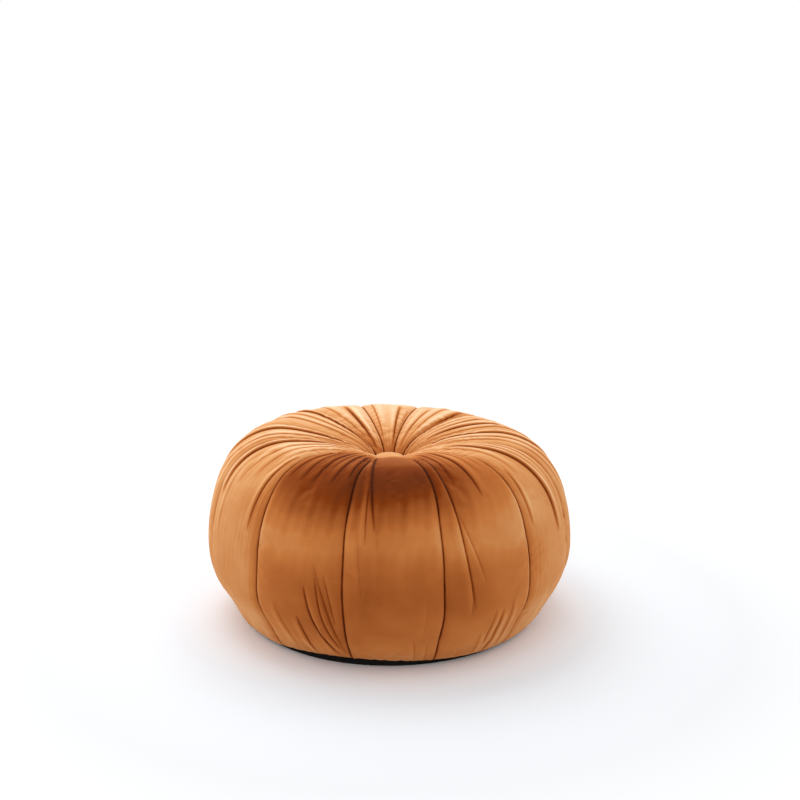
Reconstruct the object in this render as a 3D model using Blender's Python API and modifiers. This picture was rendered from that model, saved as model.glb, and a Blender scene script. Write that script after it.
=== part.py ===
"""Round floor pouf in orange velvet: twelve filled gores drawn in under a covered button, on a black base.

Axes: +Z up, the floor at z = 0, the middle of the base at the origin, the front toward -Y. An azimuth is in
degrees from the front, positive toward +X. A drop is the distance in millimetres along the skin from the edge
of the button, out over the rim and down to the base.
"""

import bisect
import collections
import math

import bmesh
import bpy

MM = 0.001

# Gap between neighbouring pieces.
CLEARANCE = 0.3 * MM

# Base board.
BASE_RADIUS = 240 * MM
BASE_THICKNESS = 11 * MM
BASE_EDGE_ROUND = 1 * MM
BASE_SIDES = 72

# Section of the filled body, from the base up.
BODY_RADIUS = 305 * MM
WIDEST_HEIGHT = 112 * MM
SKIN_EDGE_RADIUS = 248 * MM
SKIN_EDGE_HEIGHT = 10.8 * MM
UNDERSIDE_HEIGHT = BASE_THICKNESS + CLEARANCE
UNDERSIDE_RADIUS = BASE_RADIUS + 0.8 * MM
LOWER_ROUNDNESS = 1.35
UPPER_ROUNDNESS = 2.45
CREST_RADIUS = 171 * MM
CREST_HEIGHT = 307.5 * MM
DISH_DEPTH = 43 * MM
TUFT_DEPTH = 17 * MM
TUFT_REACH = 12 * MM

# Covered button and its seat.
BUTTON_RADIUS = 28 * MM
BUTTON_HEIGHT = 14.5 * MM
BUTTON_SIDE = 5 * MM
BUTTON_STEPS = 32
BUTTON_ARC_POINTS = 9
SEAT_RADIUS = 29 * MM
SKIN_END_RADIUS = 6 * MM

# How finely a gore is cut up.
SECTION_SAMPLES = 80
FIRST_ROW = 4 * MM
LAST_ROW = 24 * MM
ROW_GROWTH = 0.13
COLUMN_CROWDING = 0.5
FAN_HEIGHT = 200 * MM

# Relief of the skin, in millimetres.
SEAM_HALF_WIDTH = 6.0
SEAM_TOP_REACH = 45.0
EDGE_FADE = 45.0
HEM_FADE = 70.0
SEAT_FADE = 12.0
GATHER_PEAK = 20.0
FOLD_SEAM_GUARD = 12.0
SHIFT_DROP = 330.0

VELVET_COLOR = (0.45, 0.13, 0.035, 1.0)
BLACK_COLOR = (0.012, 0.010, 0.009, 1.0)

# A seam leans by top_shift degrees on its way up to the button. Its depth is in millimetres.
Seam = collections.namedtuple("Seam", "azimuth top_shift depth")
SEAMS = (
    Seam(-13.6, 2.3, 3.2),
    Seam(15.8, 0.5, 3.2),
    Seam(46.5, -1.0, 3.4),
    Seam(74.7, -2.0, 3.6),
    Seam(102.0, -3.0, 3.6),
    Seam(133.5, 4.0, 3.6),
    Seam(164.5, 3.0, 3.6),
    Seam(194.5, 0.0, 3.6),
    Seam(223.5, -1.0, 3.6),
    Seam(256.0, 4.0, 3.6),
    Seam(285.0, 0.5, 3.6),
    Seam(316.8, -1.5, 3.4),
)

# One row for each gore, from the seam of the same row to the next one round. Its gathers run out from the
# button and fade over gather_reach millimetres.
Gore = collections.namedtuple("Gore", "columns puff gathers gather_height gather_reach")
GORES = (
    Gore(20, 3.0, 3, 2.2, 40.0),
    Gore(22, 3.0, 4, 2.6, 55.0),
    Gore(16, 3.2, 3, 2.8, 95.0),
    Gore(14, 3.4, 3, 3.0, 120.0),
    Gore(14, 3.4, 4, 3.0, 120.0),
    Gore(14, 3.4, 3, 3.2, 100.0),
    Gore(14, 3.4, 4, 3.0, 90.0),
    Gore(14, 3.4, 3, 3.2, 90.0),
    Gore(14, 3.4, 4, 3.0, 110.0),
    Gore(14, 3.2, 3, 3.0, 120.0),
    Gore(16, 3.2, 4, 2.8, 95.0),
    Gore(22, 3.0, 4, 2.8, 55.0),
)

# Wide soft swells of the filling: each is height millimetres out at its middle.
Swell = collections.namedtuple("Swell", "azimuth half_angle drop half_drop height")
SWELLS = (
    Swell(-105.0, 55.0, 200.0, 90.0, 6.0),
    Swell(100.0, 50.0, 220.0, 55.0, -5.0),
    Swell(180.0, 40.0, 190.0, 70.0, 2.0),
    Swell(1.5, 22.0, 65.0, 45.0, -4.5),
)

# Height of the hem over the floor: it shows the black base at the front and hangs over it at the sides.
Hem = collections.namedtuple("Hem", "azimuth height")
HEMS = (
    Hem(-180.0, 3.5),
    Hem(-62.0, 3.5),
    Hem(-36.0, 7.0),
    Hem(-18.0, 10.0),
    Hem(0.0, 10.8),
    Hem(14.0, 10.6),
    Hem(26.0, 8.5),
    Hem(38.0, 6.0),
    Hem(60.0, 3.5),
    Hem(180.0, 3.5),
)

# Folds and creases of the velvet, height below zero for a crease. The half width is in millimetres.
Fold = collections.namedtuple("Fold", "gore azimuth_a drop_a azimuth_b drop_b half_width height")
FOLDS = (
    Fold(0, -8.2, 110.0, -5.4, 310.0, 9.0, 3.2),
    Fold(0, -3.6, 190.0, -2.2, 330.0, 9.0, -2.0),
    Fold(1, 17.8, 150.0, 24.4, 425.0, 10.0, 3.6),
    Fold(1, 22.6, 200.0, 29.2, 400.0, 11.0, -2.4),
    Fold(1, 21.8, 110.0, 32.0, 255.0, 9.0, -2.2),
    Fold(1, 33.0, 440.0, 36.0, 525.0, 12.0, 2.4),
    Fold(2, 54.0, 125.0, 64.0, 340.0, 10.0, -2.4),
    Fold(3, 84.0, 110.0, 90.0, 330.0, 12.0, -2.6),
    Fold(4, 116.0, 70.0, 120.0, 300.0, 13.0, -2.8),
    Fold(5, 146.0, 70.0, 152.0, 280.0, 13.0, 3.0),
    Fold(6, 178.0, 60.0, 183.0, 260.0, 13.0, -3.0),
    Fold(7, 208.0, 25.0, 204.5, 160.0, 13.0, 3.2),
    Fold(8, 240.0, 60.0, 236.0, 290.0, 13.0, -3.0),
    Fold(9, 263.0, 230.0, 277.0, 310.0, 13.0, 2.6),
    Fold(10, 300.0, 120.0, 296.0, 330.0, 12.0, -2.4),
    Fold(11, 335.0, 395.0, 343.4, 525.0, 13.0, 3.0),
    Fold(11, 339.0, 340.0, 341.0, 470.0, 11.0, -2.0),
    Fold(11, 328.5, 430.0, 332.5, 520.0, 13.0, 2.4),
)


def blend(low, high, value):
    """A smooth rise from 0 at low to 1 at high."""
    part = min(max((value - low) / (high - low), 0.0), 1.0)
    return part * part * (3.0 - 2.0 * part)


def bell(distance, half_width):
    return math.exp(-((distance / half_width) ** 2))


def dish_height(radius):
    """Height of the dished top at a radius inside the crest."""
    sag = DISH_DEPTH * (1.0 - radius / CREST_RADIUS) ** 2
    tuft = TUFT_DEPTH * math.exp(-(radius - SEAT_RADIUS) / TUFT_REACH)
    return CREST_HEIGHT - sag - tuft


def section():
    """(drop, radius, height) along the skin, from its end under the button to its edge at the base."""
    points = [(SKIN_END_RADIUS, dish_height(SEAT_RADIUS))]
    for index in range(SECTION_SAMPLES):
        part = (index / SECTION_SAMPLES) ** 1.5
        radius = SEAT_RADIUS + part * (CREST_RADIUS - SEAT_RADIUS)
        points.append((radius, dish_height(radius)))
    for index in range(SECTION_SAMPLES):
        angle = math.radians(90.0 * (1.0 - index / SECTION_SAMPLES))
        out = math.cos(angle) ** (2.0 / UPPER_ROUNDNESS)
        rise = math.sin(angle) ** (2.0 / UPPER_ROUNDNESS)
        points.append(
            (
                CREST_RADIUS + (BODY_RADIUS - CREST_RADIUS) * out,
                WIDEST_HEIGHT + (CREST_HEIGHT - WIDEST_HEIGHT) * rise,
            )
        )
    for index in range(SECTION_SAMPLES + 1):
        angle = math.radians(90.0 * index / SECTION_SAMPLES)
        out = max(math.cos(angle), 0.0) ** (2.0 / LOWER_ROUNDNESS)
        fall = math.sin(angle) ** (2.0 / LOWER_ROUNDNESS)
        points.append(
            (
                SKIN_EDGE_RADIUS + (BODY_RADIUS - SKIN_EDGE_RADIUS) * out,
                WIDEST_HEIGHT - (WIDEST_HEIGHT - SKIN_EDGE_HEIGHT) * fall,
            )
        )
    drops = [SKIN_END_RADIUS - SEAT_RADIUS]
    for before, after in zip(points, points[1:]):
        drops.append(drops[-1] + math.dist(before, after))
    return [(drop, radius, height) for drop, (radius, height) in zip(drops, points)]


SECTION = section()
SECTION_DROPS = [row[0] for row in SECTION]
SKIN_LENGTH = SECTION_DROPS[-1]
SEAT_HEIGHT = SECTION[0][2]


def section_at(drop):
    """(radius, height) of the section at a drop in metres."""
    index = min(max(bisect.bisect_right(SECTION_DROPS, drop), 1), len(SECTION) - 1)
    low, high = SECTION[index - 1], SECTION[index]
    part = min(max((drop - low[0]) / (high[0] - low[0]), 0.0), 1.0)
    return low[1] + part * (high[1] - low[1]), low[2] + part * (high[2] - low[2])


def outward_at(drop):
    """Direction square to the section at a drop, as (outward, upward)."""
    step = 3.0 * MM
    radius_a, height_a = section_at(drop - step)
    radius_b, height_b = section_at(drop + step)
    length = math.hypot(radius_b - radius_a, height_b - height_a)
    return (height_a - height_b) / length, (radius_b - radius_a) / length


def row_drops():
    """Drops of a gore's rows from the base up, closer together toward the button."""
    drops = [SECTION_DROPS[0], 0.0]
    while drops[-1] < SKIN_LENGTH - 1.5 * LAST_ROW:
        drops.append(drops[-1] + min(FIRST_ROW + ROW_GROWTH * drops[-1], LAST_ROW))
    drops.append((drops[-1] + SKIN_LENGTH) / 2.0)
    drops.append(SKIN_LENGTH)
    return drops[::-1]


ROW_DROPS = row_drops()
UNDERSIDE_ROW = 0
HEM_ROW = 1
LAST_ROW_NUMBER = len(ROW_DROPS)


def seam_azimuth(seam, drop):
    return seam.azimuth + seam.top_shift * (1.0 - blend(0.0, SHIFT_DROP * MM, drop))


def column_part(column, columns):
    """How far across a gore a column lies, from 0 to 1, crowded toward both seams."""
    even = column / columns
    crowded = (1.0 - math.cos(math.pi * even)) / 2.0
    return even + COLUMN_CROWDING * (crowded - even)


def seam_relief(seam, distance_mm, drop_mm):
    """The groove along a seam, narrower and deeper where the gores are drawn in."""
    near_button = bell(max(drop_mm, 0.0), SEAM_TOP_REACH)
    half_width = SEAM_HALF_WIDTH * (1.0 - 0.5 * near_button)
    return -seam.depth * math.exp(-distance_mm / half_width)


def swell_relief(azimuth, drop_mm):
    total = 0.0
    for swell in SWELLS:
        turn = (azimuth - swell.azimuth + 180.0) % 360.0 - 180.0
        total += swell.height * bell(turn, swell.half_angle) * bell(drop_mm - swell.drop, swell.half_drop)
    return total


def hem_shift(azimuth, drop_mm):
    """How far the hem moves the skin near the base up or down, in millimetres."""
    turn = (azimuth + 180.0) % 360.0 - 180.0
    for before, after in zip(HEMS, HEMS[1:]):
        if turn <= after.azimuth:
            part = blend(before.azimuth, after.azimuth, turn)
            height = before.height + part * (after.height - before.height)
            break
    near_base = 1.0 - blend(0.0, HEM_FADE, SKIN_LENGTH / MM - drop_mm)
    return (height - SKIN_EDGE_HEIGHT / MM) * near_base


def fold_relief(fold, azimuth, drop_mm):
    """A ridge or crease along a straight run of the skin, fading out at both ends."""
    middle = (fold.drop_a + fold.drop_b) / 2.0
    round_mm = math.radians(1.0) * section_at(middle * MM)[0] / MM
    run_across = (fold.azimuth_b - fold.azimuth_a) * round_mm
    run_down = fold.drop_b - fold.drop_a
    across = (azimuth - fold.azimuth_a) * round_mm
    down = drop_mm - fold.drop_a
    length = math.hypot(run_across, run_down)
    along = min(max((across * run_across + down * run_down) / length**2, 0.0), 1.0)
    distance = math.hypot(across - along * run_across, down - along * run_down)
    return fold.height * bell(distance, fold.half_width) * math.sin(math.pi * along) ** 0.7


def relief(number, part, azimuth, drop):
    """Height of the velvet over the section, in millimetres."""
    gore = GORES[number]
    left, right = SEAMS[number], SEAMS[(number + 1) % len(SEAMS)]
    drop_mm = drop / MM
    radius_mm = section_at(drop)[0] / MM
    width = math.radians((right.azimuth - left.azimuth) % 360.0) * radius_mm
    total = gore.puff * (4.0 * part * (1.0 - part)) ** 0.7 * (0.5 + 0.5 * blend(0.0, 330.0, drop_mm))
    total += seam_relief(left, part * width, drop_mm)
    total += seam_relief(right, (1.0 - part) * width, drop_mm)
    total += swell_relief(azimuth, drop_mm)
    gather = math.sin(math.pi * gore.gathers * part) ** 2
    total += gore.gather_height * gather * bell(max(drop_mm - GATHER_PEAK, 0.0), gore.gather_reach)
    guard = blend(0.0, FOLD_SEAM_GUARD, min(part, 1.0 - part) * width)
    for fold in FOLDS:
        if fold.gore == number:
            total += guard * fold_relief(fold, azimuth, drop_mm)
    above_base = blend(0.0, EDGE_FADE, (SKIN_LENGTH - drop) / MM)
    return total * above_base * blend(0.0, SEAT_FADE, drop_mm)


def skin_point(number, part, row):
    """A point of a gore's skin, kept half the clearance off the seam at either side."""
    left, right = SEAMS[number], SEAMS[(number + 1) % len(SEAMS)]
    drop = ROW_DROPS[max(row, HEM_ROW) - HEM_ROW]
    radius, height = section_at(drop)
    if row == UNDERSIDE_ROW:
        radius, height = UNDERSIDE_RADIUS, UNDERSIDE_HEIGHT
    aside = math.degrees(math.asin(CLEARANCE / 2.0 / radius))
    start = seam_azimuth(left, drop) + aside
    end = seam_azimuth(right, drop) - aside
    azimuth = start + part * ((end - start) % 360.0)
    if row > UNDERSIDE_ROW:
        outward, upward = outward_at(drop)
        raised = relief(number, part, azimuth, drop) * MM
        radius += raised * outward
        height += raised * upward + hem_shift(azimuth, drop / MM) * MM
    turn = math.radians(azimuth)
    return radius * math.sin(turn), -radius * math.cos(turn), height


def core_point(number, row):
    """The gore's inner edge, half the clearance off both seam planes."""
    left, right = SEAMS[number], SEAMS[(number + 1) % len(SEAMS)]
    half_span = (right.azimuth - left.azimuth) % 360.0 / 2.0
    turn = math.radians(left.azimuth + half_span)
    radius = CLEARANCE / 2.0 / math.sin(math.radians(half_span))
    if row <= HEM_ROW:
        height = UNDERSIDE_HEIGHT
    elif row == LAST_ROW_NUMBER:
        height = SEAT_HEIGHT
    else:
        height = min(section_at(ROW_DROPS[row - HEM_ROW])[1], FAN_HEIGHT)
    return radius * math.sin(turn), -radius * math.cos(turn), height


def wall_point(number, part, row):
    """The wall's outer corner: on the skin, or inside the hem where the hem hangs over the base."""
    if row == HEM_ROW:
        return skin_point(number, part, UNDERSIDE_ROW)
    return skin_point(number, part, row)


def velvet_and_black():
    materials = {}
    for name, color, roughness in (("orange_velvet", VELVET_COLOR, 0.85), ("black_cloth", BLACK_COLOR, 0.9)):
        material = bpy.data.materials.new(name)
        material.use_nodes = True
        shader = material.node_tree.nodes["Principled BSDF"]
        shader.inputs["Base Color"].default_value = color
        shader.inputs["Roughness"].default_value = roughness
        shader.inputs["Metallic"].default_value = 0.0
        materials[name] = material
    return materials


def add_gore(number, collection, material):
    """One gore: a flat grid bent into the skin and the two seam walls, then closed above and below."""
    columns = GORES[number].columns
    wide = columns + 4
    shape = bmesh.new()
    bmesh.ops.create_grid(shape, x_segments=wide, y_segments=LAST_ROW_NUMBER, size=1.0)
    cells = {}
    for vertex in shape.verts:
        column = round((vertex.co.x + 1.0) / 2.0 * wide)
        row = round((vertex.co.y + 1.0) / 2.0 * LAST_ROW_NUMBER)
        cells[vertex] = column, row
    left_wall = [face for face in shape.faces if max(cells[v][0] for v in face.verts) <= 2]
    right_wall = [face for face in shape.faces if min(cells[v][0] for v in face.verts) >= wide - 2]
    for vertex, (column, row) in cells.items():
        if column in (0, wide):
            vertex.co = core_point(number, row)
        elif column in (1, wide - 1):
            vertex.co = wall_point(number, float(column > 1), row)
        else:
            vertex.co = skin_point(number, column_part(column - 2, columns), row)
    bmesh.ops.triangulate(shape, faces=left_wall, quad_method="FIXED")
    bmesh.ops.triangulate(shape, faces=right_wall, quad_method="ALTERNATE")
    bmesh.ops.remove_doubles(shape, verts=shape.verts[:], dist=0.005 * MM)
    bmesh.ops.holes_fill(shape, edges=[edge for edge in shape.edges if edge.is_boundary], sides=0)
    bmesh.ops.recalc_face_normals(shape, faces=shape.faces[:])
    mesh = bpy.data.meshes.new(f"panel_{number + 1:02d}")
    shape.to_mesh(mesh)
    shape.free()
    mesh.materials.append(material)
    gore = bpy.data.objects.new(mesh.name, mesh)
    collection.objects.link(gore)


def add_base(collection, material):
    bpy.ops.mesh.primitive_cylinder_add(
        vertices=BASE_SIDES,
        radius=BASE_RADIUS,
        depth=BASE_THICKNESS,
        location=(0.0, 0.0, BASE_THICKNESS / 2.0),
    )
    base = bpy.context.active_object
    base.name = "base"
    base.data.name = "base"
    base.data.materials.append(material)
    rounding = base.modifiers.new("edge_round", "BEVEL")
    rounding.width = BASE_EDGE_ROUND
    rounding.segments = 2
    rounding.limit_method = "ANGLE"
    rounding.angle_limit = math.radians(40.0)
    for holder in base.users_collection:
        holder.objects.unlink(base)
    collection.objects.link(base)


def add_button(collection, material):
    """The button's half section, turned about the middle axis."""
    bottom = SEAT_HEIGHT + CLEARANCE
    dome = BUTTON_HEIGHT - BUTTON_SIDE
    outline = [(0.0, bottom), (BUTTON_RADIUS - 2.0 * MM, bottom), (BUTTON_RADIUS, bottom + 2.0 * MM)]
    for index in range(BUTTON_ARC_POINTS):
        angle = math.radians(90.0 * index / (BUTTON_ARC_POINTS - 1))
        radius = BUTTON_RADIUS * math.cos(angle) ** 0.9
        outline.append((radius, bottom + BUTTON_SIDE + dome * math.sin(angle)))
    outline[-1] = (0.0, bottom + BUTTON_HEIGHT)
    mesh = bpy.data.meshes.new("button")
    edges = [(index, index + 1) for index in range(len(outline) - 1)]
    mesh.from_pydata([(radius, 0.0, height) for radius, height in outline], edges, [])
    mesh.materials.append(material)
    button = bpy.data.objects.new("button", mesh)
    collection.objects.link(button)
    turned = button.modifiers.new("turned", "SCREW")
    turned.axis = "Z"
    turned.angle = math.radians(360.0)
    turned.steps = BUTTON_STEPS
    turned.render_steps = BUTTON_STEPS
    turned.use_merge_vertices = True
    turned.merge_threshold = 0.00001
    turned.use_normal_calculate = True


def main():
    for old in list(bpy.data.objects):
        bpy.data.objects.remove(old)
    collection = bpy.data.collections.new("floor_pouf")
    bpy.context.scene.collection.children.link(collection)
    materials = velvet_and_black()
    add_base(collection, materials["black_cloth"])
    for number in range(len(GORES)):
        add_gore(number, collection, materials["orange_velvet"])
    add_button(collection, materials["orange_velvet"])


main()
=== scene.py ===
"""Looks of the round floor pouf: twelve velvet gores, a covered button and a black base, on a pale studio floor.

An azimuth is in degrees from the front (-Y), positive toward +X. A drop is the distance in millimetres along
the skin from the edge of the button, out over the rim and down to the base.
"""

import collections
import math

import bmesh
import bpy
import numpy as np
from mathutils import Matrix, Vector


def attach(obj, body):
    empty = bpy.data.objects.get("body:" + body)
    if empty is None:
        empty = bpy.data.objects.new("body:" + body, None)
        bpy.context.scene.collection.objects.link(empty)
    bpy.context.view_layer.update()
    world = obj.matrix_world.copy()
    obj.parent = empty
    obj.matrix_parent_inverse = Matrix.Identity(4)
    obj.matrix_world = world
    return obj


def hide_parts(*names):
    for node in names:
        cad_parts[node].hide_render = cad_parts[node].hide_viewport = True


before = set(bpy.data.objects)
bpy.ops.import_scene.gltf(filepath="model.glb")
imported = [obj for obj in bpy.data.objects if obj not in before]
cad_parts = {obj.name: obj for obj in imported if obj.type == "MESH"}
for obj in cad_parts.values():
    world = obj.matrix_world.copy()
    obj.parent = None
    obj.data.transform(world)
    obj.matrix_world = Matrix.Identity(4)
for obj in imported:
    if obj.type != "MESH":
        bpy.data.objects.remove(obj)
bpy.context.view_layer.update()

MM = 0.001
CLEARANCE = 0.3

# Base board and the section of the filled body, in millimetres, as in the frame.
BASE_RADIUS = 240.0
BASE_THICKNESS = 11.0
BODY_RADIUS = 305.0
WIDEST_HEIGHT = 112.0
SKIN_EDGE_RADIUS = 244.5
SKIN_EDGE_HEIGHT = 10.8
UNDERSIDE_HEIGHT = BASE_THICKNESS + CLEARANCE
UNDERSIDE_RADIUS = BASE_RADIUS + 0.8
LOWER_ROUNDNESS = 1.35
UPPER_ROUNDNESS = 2.45
CREST_RADIUS = 171.0
CREST_HEIGHT = 307.5
DISH_DEPTH = 43.0
TUFT_DEPTH = 17.0
TUFT_REACH = 12.0
BUTTON_RADIUS = 28.0
BUTTON_HEIGHT = 14.5
SEAT_RADIUS = 29.0
SKIN_END_RADIUS = 6.0
SECTION_SAMPLES = 400
SMOOTHING = 15.0
FAN_HEIGHT = 200.0
SHIFT_DROP = 330.0
HEM_FADE = 70.0
EDGE_FADE = 40.0
SEAT_FADE = 9.0

# Cloth simulation of the stuffed skin: one sheet all round, held at the seams and at its two ends.
PANEL_COLUMNS = 16
PANEL_ROWS = 90
CLOTH_FRAMES = 20
CLOTH_PRESSURE = 4.0
MOST_SWELL = 5.0

# Mesh of one gore.
SKIN_COLUMNS = 120
FIRST_ROW = 1.2
ROW_GROWTH = 0.03
LAST_ROW = 2.8
COLUMN_CROWDING = 0.45

Seam = collections.namedtuple("Seam", "azimuth top_shift depth")
SEAMS = (
    Seam(-13.6, 2.3, 3.2),
    Seam(15.8, 0.5, 3.2),
    Seam(46.5, -1.0, 3.4),
    Seam(74.7, -2.0, 3.6),
    Seam(102.0, -3.0, 3.6),
    Seam(133.5, 4.0, 3.6),
    Seam(164.5, 3.0, 3.6),
    Seam(194.5, 0.0, 3.6),
    Seam(223.5, -1.0, 3.6),
    Seam(256.0, 4.0, 3.6),
    Seam(285.0, 0.5, 3.6),
    Seam(316.8, -1.5, 3.4),
)

# pleats: how many gathers start at the button. reach: how far the long ones run, in millimetres.
# streaks: height of the fine lengthwise lines in the velvet. lines: how clearly brushed lines show in the pile.
Gore = collections.namedtuple("Gore", "puff pleats pleat_height reach streaks lines")
GORES = (
    Gore(1.2, 9, 1.3, 60.0, 0.05, 0.05),
    Gore(1.2, 11, 1.6, 80.0, 0.08, 0.12),
    Gore(1.4, 11, 1.6, 90.0, 0.28, 1.00),
    Gore(1.6, 11, 1.6, 100.0, 0.30, 1.00),
    Gore(1.6, 11, 1.6, 90.0, 0.28, 0.90),
    Gore(1.6, 10, 1.5, 80.0, 0.18, 0.60),
    Gore(1.6, 8, 1.3, 60.0, 0.12, 0.40),
    Gore(1.6, 9, 1.4, 70.0, 0.14, 0.45),
    Gore(1.6, 11, 1.5, 80.0, 0.22, 0.80),
    Gore(1.4, 11, 1.6, 90.0, 0.28, 1.00),
    Gore(1.4, 11, 1.6, 90.0, 0.30, 1.00),
    Gore(1.2, 12, 1.6, 80.0, 0.08, 0.12),
)

# How much of the side gores' paler tone, partly the lie of their pile and partly painted sheen, a place on the three
# front gores has.
Tone = collections.namedtuple("Tone", "azimuth share")
TONES = (
    Tone(-43.0, 0.30),
    Tone(-36.0, 0.20),
    Tone(-26.0, 0.08),
    Tone(-12.0, 0.0),
    Tone(14.0, 0.0),
    Tone(20.0, 0.12),
    Tone(26.0, 0.26),
    Tone(33.0, 0.50),
    Tone(45.0, 0.62),
)

FRONT_GORES = (11, 0, 1)

# How pale the velvet is down the skin, 0 dark and 1 pale: the lie of the pile with painted light and shade laid in. The
# front column has a painted shaded band below the rim, painted bounce light at mid height and painted shade lower down;
# the side column is paler, partly the lie of its pile and partly painted sheen.
NapAndPaintedLight = collections.namedtuple("NapAndPaintedLight", "drop front side")
NAPS_AND_PAINTED_LIGHT = (
    NapAndPaintedLight(0.0, 0.60, 0.64),
    NapAndPaintedLight(60.0, 0.58, 0.66),
    NapAndPaintedLight(100.0, 0.42, 0.68),
    NapAndPaintedLight(128.0, 0.23, 0.68),
    NapAndPaintedLight(172.0, 0.18, 0.67),
    NapAndPaintedLight(184.0, 0.12, 0.65),
    NapAndPaintedLight(199.0, 0.08, 0.63),
    NapAndPaintedLight(218.0, 0.07, 0.62),
    NapAndPaintedLight(234.0, 0.12, 0.61),
    NapAndPaintedLight(248.0, 0.20, 0.61),
    NapAndPaintedLight(262.0, 0.31, 0.61),
    NapAndPaintedLight(274.0, 0.42, 0.61),
    NapAndPaintedLight(287.0, 0.50, 0.60),
    NapAndPaintedLight(300.0, 0.59, 0.59),
    NapAndPaintedLight(322.0, 0.60, 0.58),
    NapAndPaintedLight(344.0, 0.51, 0.56),
    NapAndPaintedLight(368.0, 0.43, 0.55),
    NapAndPaintedLight(392.0, 0.39, 0.54),
    NapAndPaintedLight(430.0, 0.37, 0.52),
    NapAndPaintedLight(461.0, 0.37, 0.53),
    NapAndPaintedLight(479.0, 0.40, 0.53),
    NapAndPaintedLight(499.0, 0.46, 0.54),
    NapAndPaintedLight(540.0, 0.48, 0.54),
)

Swell = collections.namedtuple("Swell", "azimuth half_angle drop half_drop height")
SWELLS = (
    Swell(-105.0, 55.0, 200.0, 90.0, 11.0),
    Swell(100.0, 50.0, 220.0, 55.0, -1.0),
    Swell(-64.0, 36.0, 496.0, 40.0, -6.0),
    Swell(64.0, 36.0, 496.0, 40.0, -5.0),
    Swell(0.0, 22.0, 500.0, 36.0, -1.5),
    Swell(180.0, 40.0, 190.0, 70.0, 2.0),
    Swell(1.5, 22.0, 65.0, 45.0, -4.5),
)

Hem = collections.namedtuple("Hem", "azimuth height")
HEMS = (
    Hem(-180.0, 3.5),
    Hem(-64.0, 3.5),
    Hem(-46.0, 5.5),
    Hem(-34.0, 10.0),
    Hem(-22.0, 13.0),
    Hem(-6.0, 13.0),
    Hem(4.0, 11.0),
    Hem(14.0, 8.8),
    Hem(26.0, 6.5),
    Hem(40.0, 4.5),
    Hem(60.0, 3.5),
    Hem(180.0, 3.5),
)

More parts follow.
